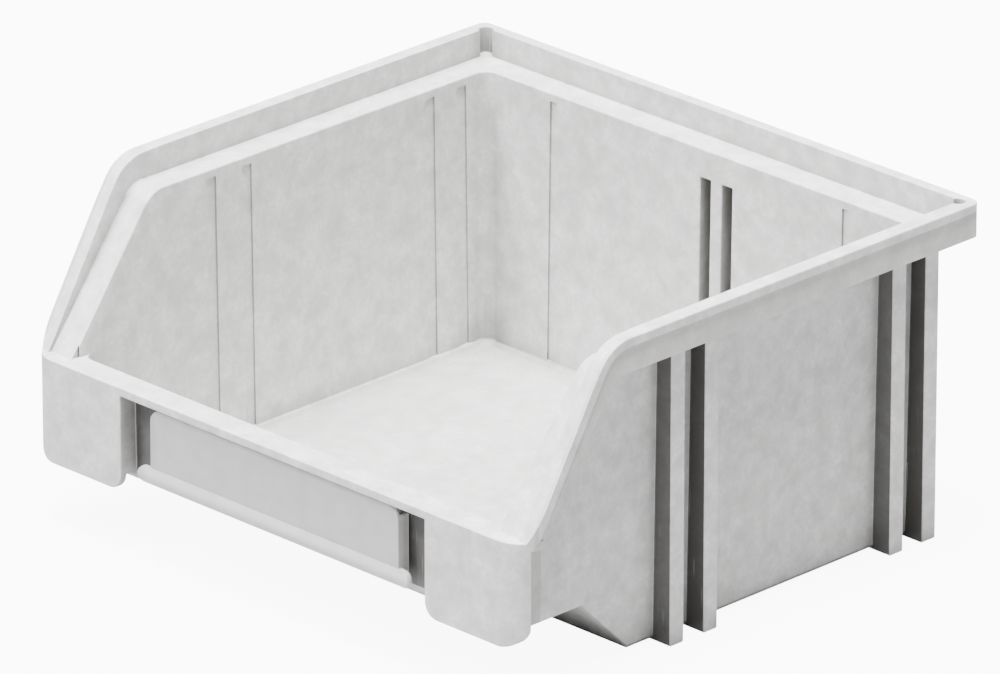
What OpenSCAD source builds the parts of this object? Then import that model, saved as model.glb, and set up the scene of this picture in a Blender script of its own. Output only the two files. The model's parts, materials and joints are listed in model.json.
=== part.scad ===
// Small open-front stacking bin: a one-piece polypropylene moulding, with a blank label card
// behind a clear cover that slides down off the label field of the front skirt.
// Millimetres. +X right, +Y towards the back wall, +Z up, origin at the centre of the footprint
// on the plane the bin stands on.

/* [Rim] */
// Overall width over the rim
bin_w = 102; // [98:1:110]
// Overall depth over the rim
bin_d = 94; // [90:1:100]
// Overall height
bin_h = 52; // [49:1:56]
// Height of the front lip above the base
front_h = 26; // [25:0.5:28]
// Slope of the outer edge of the side rims towards the front, from level
slope_angle = 59; // [56:0.5:62]
// Slope of the stacking ledge towards the front, from level
ledge_angle = 53; // [51:0.5:55]
// Distance from the front of the rim to the foot of the outer edge's slope
slope_set = 2; // [1.5:0.1:3]
// Distance from the front of the rim to the foot of the ledge's slope
ledge_set = 2.5; // [2.2:0.1:3.4]
// Outer radius of the bend between the level rim and the slope
bend_r = 7; // [5.5:0.5:9]
// Thickness of the raised lip at the sides
side_lip_t = 2.4; // [2:0.1:2.6]
// Thickness of the raised lip at the back
back_lip_t = 2; // [1.8:0.1:2.4]
// Height of the raised lip above the stacking ledge
lip_rise = 4.2; // [3.6:0.1:4.6]
// Width of the stacking ledge inside the lip, and of the front lip
ledge_w = 4.4; // [4.2:0.1:4.8]
// Thickness of the ledge plate
ledge_t = 1.3; // [1.2:0.1:1.6]
// Height of the band along the top of the side rims, proud of the face below it
band_h = 1.4; // [1:0.1:1.8]

/* [Walls] */
// Thickness of the side and back walls
wall = 1.4; // [1.2:0.1:1.6]
// Thickness of the wall behind the front skirt
front_wall_t = 1.3; // [1.2:0.1:1.5]
// Thickness of the floor
floor_t = 1.8; // [1.5:0.1:2.2]
// Height of the inside floor above the base
floor_z = 4; // [3:0.1:4.5]
// How far each wall leans in between the ledge and the base
draft = 0.6; // [0.3:0.1:0.8]
// Inside radius of the upright corners
corner_r = 2; // [1.5:0.1:3]
// Height of the raised underside behind the front skirt
toe_h = 10; // [9:0.1:11]
// Distance from the front of the rim to the front edge of the base
toe_set = 27.9; // [26:0.1:30]

/* [Fins] */
// Thickness of a fin
fin_t = 2.8; // [2.4:0.1:3]
// Distance between the two fins of a pair, centre to centre
fin_pitch = 6.9; // [6.4:0.1:7.4]
// Depth position of the front pair of fins, from the middle of the bin
front_pair_y = -9.6; // [-12:0.1:-8]
// Depth position of the back pair of fins, from the middle of the bin
back_pair_y = 36.1; // [34:0.1:36.4]
// Running gap between the fins and the lip of the bin below
stack_gap = 0.1; // [0.1:0.05:0.3]

/* [Front skirt] */
// Thickness of the skirt
skirt_t = 1.3; // [1.2:0.1:1.5]
// Height of the two end lobes, measured down from the front lip
lobe_h = 16.3; // [15:0.1:17]
// Height of the label field, measured down from the front lip
field_h = 12.6; // [12:0.1:13.5]
// Width of the label field with its cover on
field_w = 51.2; // [48:0.2:54]
// Width of each slot beside the label field
slot_w = 5.8; // [5:0.1:6.2]

/* [Label] */
// Thickness of the clear cover
cover_t = 0.5; // [0.45:0.05:0.55]
// Thickness of the card
card_t = 0.2; // [0.15:0.05:0.25]

/* [Hidden] */
$fn = 48;

grey = [0.84, 0.84, 0.83];
card_white = [0.9, 0.9, 0.88];
clear = [0.86, 0.9, 0.93, 0.45];

half_w = bin_w / 2;
half_d = bin_d / 2;
ledge_z = bin_h - lip_rise;             // top of the level ledge
under_z = ledge_z - ledge_t;            // underside of the level ledge
back_corner_r = 1.6;                    // upright corners of the rim at the back
front_corner_r = 5;                     // upright corners of the rim and skirt at the front
bend_steps = 12;
edge_cut = 0.8;                         // bevel along the lower edge of the tub
toe_cut = 1.6;                          // bevel along the front edge of the raised underside
bite = 0.4;                             // how far shapes run into each other where they join

// Inside of the walls: the sides and the back at the ledge, the front at the front lip
inner_x = half_w - side_lip_t - ledge_w;
inner_back = half_d - back_lip_t - ledge_w;
inner_front = -half_d + ledge_w;
lean_per_mm = draft / ledge_z;

toe_y = -half_d + toe_set;              // front edge of the base; the toe rises at 45 degrees
fin_x = half_w - side_lip_t - stack_gap;
rib_y = half_d - back_lip_t - stack_gap;

// Rim line seen from the side, from the back towards the front: level at z, a bend of radius r,
// then down at the angle a through the point foot = [depth, height]
function rim_line(z, r, a, foot) =
    let (corner = foot[0] + (z - foot[1]) / tan(a), centre = corner + r * tan(a / 2))
    concat(
        [[half_d, z]],
        [for (i = [0 : bend_steps])
            let (t = 90 + a * i / bend_steps) [centre + r * cos(t), z - r + r * sin(t)]]);

// The same line run on below the front lip
function run_on(line, a, foot) = concat(line, [[foot[0] - 10 / tan(a), foot[1] - 10]]);

ledge_bend_r = bend_r - 2.5;
top_foot = [-half_d + slope_set, front_h];
ledge_foot = [-half_d + ledge_set, front_h];
under_foot = [ledge_foot[0] + ledge_t / sin(ledge_angle), front_h];
band_foot = [top_foot[0] + band_h / sin(slope_angle), front_h];
top_line = rim_line(bin_h, bend_r, slope_angle, top_foot);
band_line = rim_line(bin_h - band_h, bend_r - band_h, slope_angle, band_foot);
ledge_line = rim_line(ledge_z, ledge_bend_r, ledge_angle, ledge_foot);
under_line = rim_line(under_z, ledge_bend_r - ledge_t, ledge_angle, under_foot);

function reversed(list) = [for (i = [len(list) - 1 : -1 : 0]) list[i]];

// Side profiles are drawn as [depth, height] and swept across the width from x0 to x1
module across(x0, x1) {
    translate([x0, 0, 0]) rotate([90, 0, 90]) linear_extrude(x1 - x0) children();
}

// Front profiles are drawn as [width, height] and swept in depth from y0 to y1
module deep(y0, y1) {
    translate([0, y1, 0]) rotate([90, 0, 0]) linear_extrude(y1 - y0) children();
}

module both_sides() {
    children();
    mirror([1, 0, 0]) children();
}

module rounded_rect(w, d, r) {
    square([w - 2 * r, d], center = true);
    square([w, d - 2 * r], center = true);
    for (x = [-1, 1], y = [-1, 1])
        translate([x * (w / 2 - r), y * (d / 2 - r)]) circle(r);
}

// Outline of the rim in plan, drawn a distance inset inside its outer edge
module rim_plan(inset) {
    front_r = front_corner_r - inset;
    back_r = max(back_corner_r - inset, 0.2);
    x = half_w - inset;
    y = half_d - inset;
    translate([-x, -y + front_r]) square([2 * x, 2 * y - front_r - back_r]);
    translate([-x + front_r, -y]) square([2 * (x - front_r), y]);
    translate([-x + back_r, 0]) square([2 * (x - back_r), y]);
    for (side = [-1, 1]) {
        translate([side * (x - front_r), -y + front_r]) circle(front_r);
        translate([side * (x - back_r), y - back_r]) circle(back_r);
    }
}

// Upright tub between two heights, whose four sides lean in towards the base and are cut off
// along its lower edge. grow is the distance outside the inner faces of the side and back walls.
module tub(grow, front_grow, r, z0, z1) {
    slab = 0.02;
    hull() for (level = [[z0, edge_cut], [z0 + edge_cut, 0], [z1 - slab, 0]]) {
        z = level[0];
        in = lean_per_mm * (ledge_z - z) + level[1] - grow;
        front = inner_front + lean_per_mm * (front_h - z) + level[1] - front_grow;
        translate([0, (inner_back - in + front) / 2, z]) linear_extrude(slab)
            rounded_rect(2 * (inner_x - in), inner_back - in - front, r, $fn = 32);
    }
}

module body() {
    front = inner_front - front_wall_t;
    intersection() {
        tub(wall, front_wall_t, corner_r + wall, 0, ledge_z);
        across(-half_w, half_w) polygon(concat(
            [[half_d, 0]], ledge_line,
            [ledge_foot, [-half_d, front_h], [-half_d, toe_h + toe_cut],
             [front, toe_h + toe_cut], [front + toe_cut, toe_h], [toe_y - toe_h, toe_h],
             [toe_y, 0]]));
    }
}

// Everything hollow inside the walls; it also trims the ledge flush with the walls
module cavity() {
    skew = floor_t * tan(22.5);
    rise = toe_h + floor_t - floor_z;
    intersection() {
        tub(0, 0, corner_r, floor_z, bin_h + 1);
        across(-half_w, half_w) polygon([
            [half_d, floor_z], [half_d, bin_h + 1], [-half_d, bin_h + 1],
            [-half_d, toe_h + floor_t], [toe_y - toe_h + skew, toe_h + floor_t],
            [toe_y - toe_h + skew + rise, floor_z]]);
    }
}

// Panel sunk into the underside, which leaves a foot around the edge of the base
module base_recess() {
    foot = 2.6;
    back_edge = inner_back - foot;
    front_edge = toe_y + foot;
    translate([0, (back_edge + front_edge) / 2, -1]) linear_extrude(floor_z - floor_t + 1)
        rounded_rect(2 * (inner_x - foot), back_edge - front_edge, 2);
}

module rim() {
    under_end = reversed(run_on(under_line, ledge_angle, under_foot));
    intersection() {
        union() {
            both_sides() {
                across(half_w - side_lip_t, half_w)
                    polygon(concat(run_on(top_line, slope_angle, top_foot), under_end));
                across(inner_x, half_w - side_lip_t)
                    polygon(concat(run_on(ledge_line, ledge_angle, ledge_foot), under_end));
            }
            translate([-half_w, half_d - back_lip_t, under_z])
                cube([bin_w, back_lip_t, bin_h - under_z]);
            translate([-half_w, inner_back, under_z])
                cube([bin_w, half_d - inner_back, ledge_t]);
            translate([-half_w, -half_d, front_h - ledge_t])
                cube([bin_w, ledge_w + bite, ledge_t]);
        }
        translate([0, 0, front_h - ledge_t]) linear_extrude(bin_h) rim_plan(0);
    }
}

// Clears the front above its lip, between the side walls
module front_opening() {
    opening_w = 2 * (inner_x - lean_per_mm * (ledge_z - front_h));
    translate([-opening_w / 2, -half_d - 1, front_h])
        cube([opening_w, ledge_w + corner_r + 1, bin_h]);
}

// Sets the outer face of the side rims back below their top band
module band_step() {
    step_t = 0.35;
    across(half_w - step_t, half_w + 1) polygon(concat(
        [[half_d + 1, 0], [half_d + 1, bin_h - band_h]],
        run_on(band_line, slope_angle, band_foot), [[-half_d, 0]]));
}

// Small upright relief in the inside corner of the lip at the back
module lip_corner_relief() {
    relief_r = 1.1;
    inset = 0.2;
    translate([half_w - side_lip_t - inset, half_d - back_lip_t - inset, ledge_z])
        cylinder(r = relief_r, h = lip_rise + 1);
}

// A fin stands on the base plane and ends under the ledge
module fin(y) {
    translate([inner_x - draft, y - fin_t / 2, 0])
        cube([fin_x - inner_x + draft, fin_t, under_z + 0.01]);
}

function fin_places() = [
    for (pair = [front_pair_y, back_pair_y], side = [-1, 1]) pair + side * fin_pitch / 2];

// Shallow upright lines down the inside of the side walls, a little in front of the fins
function side_line_places() = [
    front_pair_y - 6.6, front_pair_y + 0.6, back_pair_y - 7.3, back_pair_y - 0.7];

// Slanted strip in profile, whose face runs parallel to a wall and line_t inside that wall
module line_strip(inner) {
    line_t = 0.3;
    low = floor_z + edge_cut;
    face = inner + line_t;
    polygon([[face - 2, low], [face - draft, low], [face, under_z], [face - 2, under_z]]);
}

module side_line(y) {
    line_w = 2;
    deep(y - line_w / 2, y + line_w / 2) line_strip(inner_x);
}

// Upright rib behind the back wall, which stands on the ledge of the bin below
back_rib_x = 30;

module back_rib() {
    translate([back_rib_x - fin_t / 2, inner_back - draft, 0])
        cube([fin_t, rib_y - inner_back + draft, under_z + 0.01]);
}

module back_line() {
    line_w = 1.4;
    across(back_rib_x - line_w / 2, back_rib_x + line_w / 2) line_strip(inner_back);
}

// Two narrow blind slots that open inside the back wall, in a pad behind it
hook_slot_x = 3.8;
hook_slot_pitch = 4.4;
hook_slot_w = 2.1;
hook_slot_top = ledge_z - 4.6;
hook_slot_len = 24;
hook_pad_wall = 1.2;

module hook_pad() {
    pad_w = hook_slot_pitch + hook_slot_w + 2 * hook_pad_wall;
    pad_len = hook_slot_len + 2 * hook_pad_wall;
    translate([hook_slot_x - pad_w / 2, inner_back - draft,
               hook_slot_top + hook_pad_wall - pad_len])
        cube([pad_w, rib_y - inner_back + draft, pad_len]);
}

module hook_slots() {
    for (side = [-1, 1])
        translate([hook_slot_x + side * hook_slot_pitch / 2 - hook_slot_w / 2,
                   inner_back - 2, hook_slot_top - hook_slot_len])
            cube([hook_slot_w, rib_y - inner_back + 2 - hook_pad_wall, hook_slot_len]);
}

// Material outside a rounded corner at the origin whose arc opens up and right
module corner_cut(r) {
    difference() {
        translate([-1, -1]) square(r + 1);
        translate([r, r]) circle(r);
    }
}

// Label field, its cover and the slots beside it, from the front towards the back
rail_t = 0.6;                           // the cover's bottom rail stands this far off its plate
label_gap = 0.05;                       // running clearance of the cover and the card
cover_end_t = 0.6;                      // thickness of the cover's wrapped ends
hook_t = 0.4;                           // thickness of the hooks behind the field
cover_front = -half_d + rail_t;
field_front = cover_front + cover_t + card_t + 2 * label_gap;
field_t = 0.95;
field_back = field_front + field_t;
slot_inner_x = field_w / 2;
slot_outer_x = slot_inner_x + slot_w;
field_half_w = slot_inner_x - cover_end_t - label_gap;
lobe_low = front_h - lobe_h;
lobe_inner_r = 2.4;

module lobe() {
    lobe_outer_r = 5;
    return_d = 2.5;                     // how far the lobe runs back around the corner
    intersection() {
        translate([0, 0, lobe_low]) linear_extrude(lobe_h) difference() {
            rim_plan(0);
            rim_plan(skirt_t);
        }
        deep(-half_d, -half_d + return_d) difference() {
            translate([slot_outer_x, lobe_low]) square([half_w - slot_outer_x, lobe_h]);
            translate([slot_outer_x, lobe_low]) corner_cut(lobe_inner_r);
            translate([half_w, lobe_low]) mirror([1, 0]) corner_cut(lobe_outer_r);
        }
    }
}

// Web between the skirt and the wall behind it, from the depth y
module web(x, t, y, low) {
    across(x, x + t) polygon([
        [y, front_h - bite], [y, low], [inner_front - bite, low],
        [inner_front - bite, front_h - bite]]);
}

module skirt() {
    field_web_x = 10;
    field_web_t = 1;
    field_bottom = front_h - field_h;
    both_sides() {
        lobe();
        web(slot_outer_x, skirt_t, -half_d + skirt_t / 2, lobe_low + lobe_inner_r);
        web(field_web_x, field_web_t, field_back - bite, field_bottom + 1);
    }
    deep(field_front, field_back)
        translate([-field_half_w, field_bottom])
            square([2 * field_half_w, field_h - bite]);
}

module bin_shell() {
    color(grey) difference() {
        union() {
            body();
            rim();
            skirt();
            both_sides() {
                for (y = fin_places()) fin(y);
                back_rib();
            }
            hook_pad();
        }
        cavity();
        front_opening();
        base_recess();
        both_sides() {
            for (y = side_line_places()) side_line(y);
            lip_corner_relief();
            back_line();
            band_step();
        }
        hook_slots();
    }
}

// The card lies on the field; the cover wraps the ends of the field and hooks behind it
label_top = front_h - ledge_t - 0.3;     // clear of the front lip above it
label_bottom = front_h - field_h - 0.7;  // below the edge of the field

module label_card() {
    top = label_top - 0.3;
    bottom = label_bottom + 0.9;
    side_gap = 0.2;
    color(card_white) translate([0, 0, (top + bottom) / 2])
        deep(field_front - label_gap - card_t, field_front - label_gap)
            rounded_rect(2 * (field_half_w - side_gap), top - bottom, 0.8);
}

// Rounded rail along the bottom of the cover, the grip by which it is drawn down
module cover_rail() {
    rail_r = 1.75;
    rail_h = 2.7;
    rail_w = field_w + 4.6;
    rail_z = label_bottom - 0.3 + rail_h / 2;
    translate([0, 0, rail_z]) intersection() {
        across(-rail_w / 2, rail_w / 2) translate([-half_d + rail_r, 0]) circle(rail_r);
        deep(-half_d, cover_front + cover_t) rounded_rect(rail_w, rail_h, 1.2);
    }
}

module label_cover() {
    hook_y = field_back + label_gap;
    hook_w = 1.5;
    end_z = label_bottom + 1.4;
    end_h = label_top - 1.4 - end_z;
    end_y = cover_front + cover_t / 2;
    color(clear) {
        translate([0, 0, (label_top + label_bottom) / 2])
            deep(cover_front, cover_front + cover_t)
                rounded_rect(field_w, label_top - label_bottom, 2);
        cover_rail();
        both_sides() {
            translate([slot_inner_x - cover_end_t, end_y, end_z])
                cube([cover_end_t, hook_y + hook_t - end_y, end_h]);
            translate([slot_inner_x - hook_w, hook_y, end_z]) cube([hook_w, hook_t, end_h]);
        }
    }
}

bin_shell();
label_card();
label_cover();
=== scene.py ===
"""A small grey open-front stacking bin on a pale floor, with a blank label card behind its clear cover."""
import json
import math

import bmesh
import bpy
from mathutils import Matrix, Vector

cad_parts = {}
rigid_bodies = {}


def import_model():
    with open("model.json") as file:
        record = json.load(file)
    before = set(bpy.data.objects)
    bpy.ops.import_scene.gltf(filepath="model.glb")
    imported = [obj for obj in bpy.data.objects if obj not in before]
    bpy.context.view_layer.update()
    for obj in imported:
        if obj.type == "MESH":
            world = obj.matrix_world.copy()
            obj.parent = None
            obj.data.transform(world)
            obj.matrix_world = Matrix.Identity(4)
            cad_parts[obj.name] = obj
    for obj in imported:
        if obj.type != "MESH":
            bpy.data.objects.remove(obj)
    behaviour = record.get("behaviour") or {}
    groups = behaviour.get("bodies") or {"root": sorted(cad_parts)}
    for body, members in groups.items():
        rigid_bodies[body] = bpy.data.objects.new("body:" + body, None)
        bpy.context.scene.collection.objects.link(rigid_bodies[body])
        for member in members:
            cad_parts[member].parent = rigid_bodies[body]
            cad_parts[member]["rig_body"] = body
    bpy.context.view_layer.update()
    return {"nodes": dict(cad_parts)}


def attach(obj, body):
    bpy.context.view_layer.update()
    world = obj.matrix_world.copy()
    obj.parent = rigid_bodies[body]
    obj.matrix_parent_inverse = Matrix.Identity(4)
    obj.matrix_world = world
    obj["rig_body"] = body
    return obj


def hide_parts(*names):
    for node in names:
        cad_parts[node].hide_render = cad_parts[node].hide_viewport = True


MM = 0.001
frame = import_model()

# --- colours --------------------------------------------------------------------------------
GREY_LIGHT = (0.74, 0.74, 0.735, 1)
GREY_DARK = (0.50, 0.50, 0.495, 1)
GREY_FLECK = (0.50, 0.50, 0.50, 1)
GREY_WARM = (0.60, 0.59, 0.565, 1)
# Painted shade, a little darker
SHADE_GREY = (0.36, 0.355, 0.34, 1)
# Painted shade in narrow gaps
GAP_SHADE_GREY = (0.12, 0.115, 0.105, 1)
# Painted shadow, nearly black
SHADOW_BLACK = (0.035, 0.033, 0.03, 1)
GREY_SCUFF = (0.74, 0.74, 0.74, 1)
CARD_DARK = (0.80, 0.80, 0.795, 1)
CARD_LIGHT = (0.86, 0.86, 0.855, 1)
CARD_CLOUD = (0.68, 0.68, 0.675, 1)
CLEAR_GLOSS = (0.8, 0.8, 0.795, 1)
CLEAR_TINT = (0.97, 0.97, 0.97, 1)
FLOOR_DARK = (0.34, 0.34, 0.34, 1)
FLOOR_LIGHT = (0.36, 0.36, 0.36, 1)
BLACK = (0, 0, 0, 1)
WHITE = (1, 1, 1, 1)

# --- places of painted shade ----------------------------------------------------------------
# Boxes in the bin's frame, low and high corner in millimetres, x counted alike left and right.
# They paint shade and shadow into the colour of a place, beyond what light alone gives it.
# Painted shadow, nearly black: the forward faces of the side fins, and the floors of the label slots
FIN_FLANK_SHADOW = ((44.9, -20, -1), (48.3, 45, 46))
LABEL_SLOT_SHADOW = ((25, -44.6, 12), (31.3, -43.4, 24.6))
# Painted shade, a little darker: behind the lobes of the skirt, the floor inside, and the side of the rim
LOBE_BACK_SHADE = ((44.2, -42, 9), (46.4, -37.4, 24.6))
INSIDE_FLOOR_SHADE = ((-1, -42.5, 3), (43.4, 40, 12.1))
RIM_SIDE_SHADE = ((50.4, -44, 24), (50.8, 48, 51))
# How strongly the painted shadow and shade are mixed in, and how far out the painted shade in gaps reaches
SHADOW_BLACK_SHARE = 0.86
SHADE_GREY_SHARE = 0.42
GAP_SHADE_REACH = 8 * MM

# --- edges ----------------------------------------------------------------------------------
BIN_EDGE = 0.25 * MM
COVER_EDGE = 0.12 * MM
MERGE_GAP = 0.02 * MM
FLAT_ANGLE = math.radians(0.6)
SHARP_ANGLE = math.radians(24)
CREASE_ANGLE = math.radians(40)
EDGE_SEGMENTS = 3
# An edge is rounded if its neighbours reach more than this many radii out across it
ROOM_PER_RADIUS = 2.1
# A neighbour that leaves an edge at a smaller sine runs on along it, and isn't counted
CROSSING_SINE = 0.25
# Room of an edge that nothing crosses, in metres
OPEN_ROOM = 1.0
# Where the front lip, a side wall and a ledge run into each other, in millimetres as above
FRONT_CORNER = ((41, -60, 24.8), (60, -40, 31))

# --- stage ----------------------------------------------------------------------------------
FLOOR_SIZE = 14
FLOOR_DROP = 0.05 * MM
FLOOR_GLOW = 9
WORLD_LIGHT = 0.2
LIGHT_TARGET = (0, 0, 0.03)
CAMERA_AZIMUTH = math.radians(45.1)
CAMERA_ELEVATION = math.radians(22.7)
CAMERA_DISTANCE = 1.747
CAMERA_TARGET = Vector((-0.75, 0.25, 29.2)) * MM


# --- node helpers ---------------------------------------------------------------------------
class Nodes:
    """Short names for building a material's node tree."""

    def __init__(self, name):
        self.material = bpy.data.materials.new(name)
        self.material.use_nodes = True
        self.tree = self.material.node_tree
        self.tree.nodes.clear()

    def set(self, socket, value):
        """Links a socket to another one, or gives it a plain value."""
        if isinstance(value, bpy.types.NodeSocket):
            self.tree.links.new(value, socket)
        else:
            socket.default_value = value

    def add(self, kind, inputs=None, **settings):
        node = self.tree.nodes.new("ShaderNode" + kind)
        for key, value in settings.items():
            setattr(node, key, value)
        for key, value in (inputs or {}).items():
            self.set(node.inputs[key], value)
        return node

    def place(self):
        """Positions in the piece's own frame, in metres."""
        return self.add("TexCoord").outputs["Object"]

    def stretched(self, place, scale, rotation=(0, 0, 0)):
        """Turned and scaled positions, which draw a noise out along the axis scaled least."""
        node = self.add("Mapping", {"Vector": place, "Rotation": rotation, "Scale": scale})
        return node.outputs[0]

    def noise(self, place, scale, detail=3.0, roughness=0.55):
        return self.add("TexNoise", {"Vector": place, "Scale": scale, "Detail": detail,
                                     "Roughness": roughness}).outputs["Fac"]

    def ramp(self, factor, low, high, start=BLACK, end=WHITE):
        node = self.add("ValToRGB", {"Fac": factor})
        first, last = node.color_ramp.elements
        first.position, first.color = low, start
        last.position, last.color = high, end
        return node.outputs["Color"]

    def math(self, operation, a, b=0.0):
        return self.add("Math", {0: a, 1: b}, operation=operation).outputs[0]

    def scaled(self, value, factor):
        return self.math("MULTIPLY", value, factor)

    def mix(self, share, under, over):
        """Colours mixed by share; 0, 6 and 7 are the sockets that a colour mix uses."""
        node = self.add("Mix", data_type="RGBA")
        for index, value in ((0, share), (6, under), (7, over)):
            self.set(node.inputs[index], value)
        return node.outputs[2]

    def within(self, place, box):
        """1 inside the box, else 0; x counts the same left and right."""
        part = self.add("SeparateXYZ", {"Vector": place}).outputs
        sides = self.math("ABSOLUTE", part["X"])
        inside = 1.0
        for value, least, most in zip((sides, part["Y"], part["Z"]), *box):
            inside = self.math("MULTIPLY", inside, self.math("GREATER_THAN", value, least * MM))
            inside = self.math("MULTIPLY", inside, self.math("LESS_THAN", value, most * MM))
        return inside

    def finish(self, shader):
        self.add("OutputMaterial", {"Surface": shader.outputs[0]})
        return self.material


# --- materials ------------------------------------------------------------------------------
def painted_shade(n, place, base):
    """Paints shade into the colour: darkens the upright faces in narrow gaps, and paints shade and shadow
    into the boxed places.
    """
    facing = n.add("SeparateXYZ", {"Vector": n.add("NewGeometry").outputs["Normal"]}).outputs
    upright = n.ramp(n.math("ABSOLUTE", facing["Z"]), 0.6, 0.85, start=WHITE, end=BLACK)
    # Painted shade: upright faces darken where ambient occlusion finds a narrow gap
    openness = n.add("AmbientOcclusion", {"Distance": GAP_SHADE_REACH}, samples=8).outputs["AO"]
    gap_shade = n.ramp(openness, 0.15, 0.74, start=(0.9, 0.9, 0.9, 1), end=BLACK)
    base = n.mix(n.math("MULTIPLY", gap_shade, upright), base, GAP_SHADE_GREY)
    # Painted shadow, nearly black, on the forward faces of the side fins and in the label slots
    looks_forward = n.math("LESS_THAN", facing["Y"], -0.6)
    flank_shadow = n.math("MULTIPLY", n.within(place, FIN_FLANK_SHADOW), looks_forward)
    slot_and_flank_shadow = n.math("MAXIMUM", flank_shadow, n.within(place, LABEL_SLOT_SHADOW))
    base = n.mix(n.scaled(slot_and_flank_shadow, SHADOW_BLACK_SHARE), base, SHADOW_BLACK)
    # Painted shade, a little darker, on the floor inside
    base = n.mix(n.scaled(n.within(place, INSIDE_FLOOR_SHADE), SHADE_GREY_SHARE), base, SHADE_GREY)
    # Painted shade, a little darker, on the side of the rim and behind the lobes of the skirt
    outer_shade = n.math("MAXIMUM", n.within(place, RIM_SIDE_SHADE), n.within(place, LOBE_BACK_SHADE))
    return n.mix(n.scaled(outer_shade, SHADE_GREY_SHARE), base, SHADE_GREY)


def scuffs(n, place):
    """Up to 1 along fine scratches, which come in patches, and 0 between them."""
    drawn_out = n.stretched(place, (1, 1, 0.04), rotation=(0.5, 0.9, 0.3))
    lines = n.ramp(n.noise(drawn_out, 2600, detail=2), 0.66, 0.74)
    patches = n.ramp(n.noise(place, 26, detail=2), 0.5, 0.62)
    return n.math("MULTIPLY", lines, patches)


def plastic_bump(n, place):
    """Normals of a fine grain over a coarser orange peel."""
    grain = n.noise(place, 3800, detail=3, roughness=0.6)
    peel = n.noise(place, 620, detail=2, roughness=0.5)
    height = n.math("ADD", n.scaled(grain, 0.5), n.scaled(peel, 0.8))
    return n.add("Bump", {"Strength": 0.35, "Distance": 0.06 * MM, "Height": height}).outputs[0]


def grey_plastic():
    """Moulded light grey polypropylene: mottled, finely grained and a little scuffed, with painted shade
    in gaps and hollows.
    """
    n = Nodes("grey_polypropylene")
    place = n.place()
    mottle = n.ramp(n.noise(place, 330, detail=4, roughness=0.6), 0.34, 0.68)
    speckle = n.ramp(n.noise(place, 1500, detail=2, roughness=0.5), 0.38, 0.64)
    cloud = n.ramp(n.noise(place, 45), 0.3, 0.7)
    base = n.mix(mottle, GREY_DARK, GREY_LIGHT)
    base = n.mix(n.scaled(speckle, 0.45), base, GREY_FLECK)
    base = n.mix(n.scaled(cloud, 0.10), base, GREY_WARM)
    # Painted shade and shadow, mixed into the colour
    base = painted_shade(n, place, base)
    wear = scuffs(n, place)
    base = n.mix(n.scaled(wear, 0.35), base, GREY_SCUFF)
    rough = n.math("ADD", n.scaled(mottle, 0.08), 0.46)
    return n.finish(n.add("BsdfPrincipled", {
        "Base Color": base, "Roughness": n.math("ADD", rough, n.scaled(wear, 0.15)),
        "IOR": 1.49, "Specular IOR Level": 0.45, "Subsurface Weight": 0.12,
        "Subsurface Radius": (1.2 * MM, 1.1 * MM, 1.0 * MM), "Subsurface Scale": 1.0,
        "Normal": plastic_bump(n, place)}))


def paper_card():
    """Uncoated blank card: fibres, a faint tooth and slightly uneven tone."""
    n = Nodes("card")
    place = n.place()
    fibre_place = n.stretched(place, (0.25, 1, 1.4))
    fibre = n.ramp(n.noise(fibre_place, 4200, detail=4, roughness=0.7), 0.35, 0.7)
    base = n.mix(fibre, CARD_DARK, CARD_LIGHT)
    base = n.mix(n.scaled(n.noise(place, 160), 0.15), base, CARD_CLOUD)
    tooth = n.add("Bump", {"Strength": 0.4, "Distance": 0.03 * MM, "Height": fibre})
    return n.finish(n.add("BsdfPrincipled", {"Base Color": base, "Roughness": 0.85,
                                             "Normal": tooth.outputs[0]}))


def clear_plastic():
    """Thin clear cover: light haze, fine hairlines and a soft ripple."""
    n = Nodes("clear_plastic")
    place = n.place()
    hair_place = n.stretched(place, (1, 1, 0.03), rotation=(0, 0.6, 0))
    hair = n.ramp(n.noise(hair_place, 3000, detail=2), 0.64, 0.7)
    ripple = n.noise(place, 90, detail=2)
    haze = n.ramp(n.noise(place, 240), 0.35, 0.75)
    height = n.math("ADD", ripple, n.scaled(hair, 0.2))
    bump = n.add("Bump", {"Strength": 0.25, "Distance": 0.08 * MM, "Height": height}).outputs[0]
    rough = n.math("ADD", n.scaled(haze, 0.10), n.scaled(hair, 0.25))
    gloss = n.add("BsdfPrincipled", {
        "Base Color": CLEAR_GLOSS, "Roughness": n.math("ADD", rough, 0.3),
        "IOR": 1.46, "Normal": bump})
    through = n.add("BsdfTransparent", {"Color": CLEAR_TINT})
    edge = n.add("Fresnel", {"IOR": 1.46, "Normal": bump}).outputs[0]
    veil = n.math("ADD", 0.42, n.scaled(haze, 0.1))
    solidity = n.math("ADD", n.scaled(edge, 0.5), veil)
    return n.finish(n.add("MixShader", {0: solidity, 1: through.outputs[0], 2: gloss.outputs[0]}))


def pale_floor():
    """Grey to the light that falls on the bin, glowing pale to the camera alone."""
    n = Nodes("floor")
    base = n.mix(n.noise(n.place(), 6), FLOOR_DARK, FLOOR_LIGHT)
    seen = n.add("LightPath").outputs["Is Camera Ray"]
    return n.finish(n.add("BsdfPrincipled", {
        "Base Color": base, "Roughness": 0.8, "Emission Color": WHITE,
        "Emission Strength": n.scaled(seen, FLOOR_GLOW)}))


# --- shapes ---------------------------------------------------------------------------------
def edge_room(edge):
    """Shortest distance that an edge meeting this one reaches out across it."""
    along = (edge.verts[1].co - edge.verts[0].co).normalized()
    room = OPEN_ROOM
    for vert in edge.verts:
        for other in vert.link_edges:
            step = other.other_vert(vert).co - vert.co
            across = step.cross(along).length
            if across > CROSSING_SINE * step.length:
                room = min(room, across)
    return room


def in_front_corner(vert):
    place = (abs(vert.co.x), vert.co.y, vert.co.z)
    return all(low < value / MM < high for value, low, high in zip(place, *FRONT_CORNER))


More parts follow.
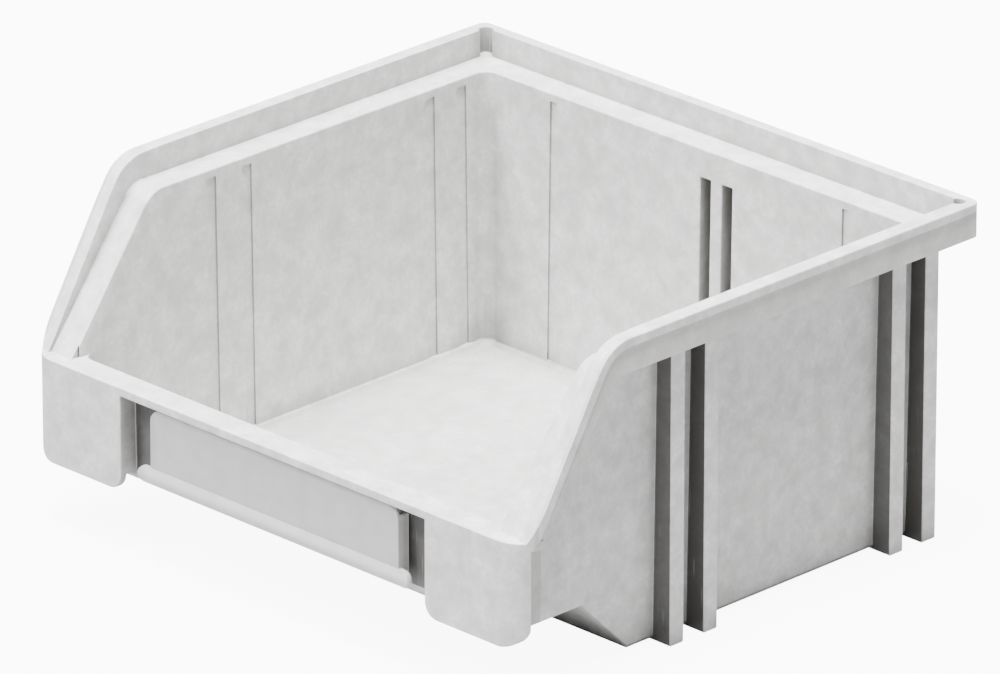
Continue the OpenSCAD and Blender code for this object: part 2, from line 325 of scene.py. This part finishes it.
def turns_by(edge, angle):
    """Whether the two faces at an edge turn by more than the angle."""
    return len(edge.link_faces) == 2 and edge.calc_face_angle(0) > angle


def round_edges(bm, radius):
    """Rounds the sharp edges that have room for the radius and don't end in a front corner."""
    roomy = [edge for edge in bm.edges
             if turns_by(edge, SHARP_ANGLE) and edge_room(edge) > ROOM_PER_RADIUS * radius
             and not any(in_front_corner(vert) for vert in edge.verts)]
    bmesh.ops.bevel(bm, geom=roomy, offset=radius, offset_type="OFFSET", segments=EDGE_SEGMENTS,
                    profile=0.5, affect="EDGES", clamp_overlap=False)
    for edge in bm.edges:
        if turns_by(edge, CREASE_ANGLE):
            edge.smooth = False


def rounded_mesh(source, name, radius):
    """A copy of a CAD mesh with flat faces merged, edges rounded and smooth shading."""
    mesh = source.data.copy()
    mesh.name = name
    bm = bmesh.new()
    bm.from_mesh(mesh)
    bmesh.ops.remove_doubles(bm, verts=bm.verts, dist=MERGE_GAP)
    bmesh.ops.dissolve_limit(bm, angle_limit=FLAT_ANGLE, verts=bm.verts, edges=bm.edges,
                             delimit=set())
    round_edges(bm, radius)
    for face in bm.faces:
        face.smooth = True
    bm.to_mesh(mesh)
    bm.free()
    return mesh


def moulded(node, name, radius, material):
    """Shows a CAD node as a copy with rounded edges, on the same body."""
    source = frame["nodes"][node]
    mesh = rounded_mesh(source, name, radius)
    mesh.materials.clear()
    mesh.materials.append(material)
    piece = bpy.data.objects.new(name, mesh)
    bpy.context.scene.collection.objects.link(piece)
    weighted = piece.modifiers.new("even shading", "WEIGHTED_NORMAL")
    weighted.keep_sharp = True
    weighted.weight = 80
    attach(piece, source["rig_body"])
    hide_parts(node)


# --- stage ----------------------------------------------------------------------------------
def add_floor():
    bpy.ops.mesh.primitive_plane_add(size=FLOOR_SIZE, location=(0, 0, -FLOOR_DROP))
    floor = bpy.context.object
    floor.name = "floor"
    floor.data.materials.append(pale_floor())


def soft_light(name, place, size, power):
    """A round lamp aimed at the bin; place and size in metres, power in watts."""
    data = bpy.data.lights.new(name, "AREA")
    data.shape = "DISK"
    data.size = size
    data.energy = power
    lamp = bpy.data.objects.new(name, data)
    bpy.context.scene.collection.objects.link(lamp)
    lamp.location = place
    aim = Vector(LIGHT_TARGET) - Vector(place)
    lamp.rotation_euler = aim.to_track_quat("-Z", "Y").to_euler()


def add_world():
    world = bpy.data.worlds.new("studio")
    bpy.context.scene.world = world
    world.use_nodes = True
    sky = world.node_tree.nodes["Background"].inputs
    sky["Color"].default_value = WHITE
    sky["Strength"].default_value = WORLD_LIGHT


def add_camera():
    """A long lens from far off, so that the bin shows little perspective."""
    level = math.cos(CAMERA_ELEVATION)
    back = Vector((math.sin(CAMERA_AZIMUTH) * level, -math.cos(CAMERA_AZIMUTH) * level,
                   math.sin(CAMERA_ELEVATION)))
    lens = bpy.data.cameras.new("camera")
    lens.sensor_width = 36
    lens.lens = 432
    lens.clip_start = 0.1
    lens.clip_end = 50
    camera = bpy.data.objects.new("camera", lens)
    bpy.context.scene.collection.objects.link(camera)
    camera.location = CAMERA_TARGET + back * CAMERA_DISTANCE
    camera.rotation_euler = (-back).to_track_quat("-Z", "Y").to_euler()
    bpy.context.scene.camera = camera


# --- the scene ------------------------------------------------------------------------------
moulded("bin_shell", "bin_shell_moulded", BIN_EDGE, grey_plastic())
moulded("label_cover", "label_cover_clear", COVER_EDGE, clear_plastic())
card = frame["nodes"]["label_card"]
card.data.materials.clear()
card.data.materials.append(paper_card())

add_floor()
soft_light("key", (-0.5, -1.0, 1.6), size=0.6, power=64)
soft_light("fill", (1.5, -0.35, 0.9), size=1.1, power=2)
soft_light("top", (0.15, -0.1, 2.0), size=1.0, power=200)
add_world()
add_camera()
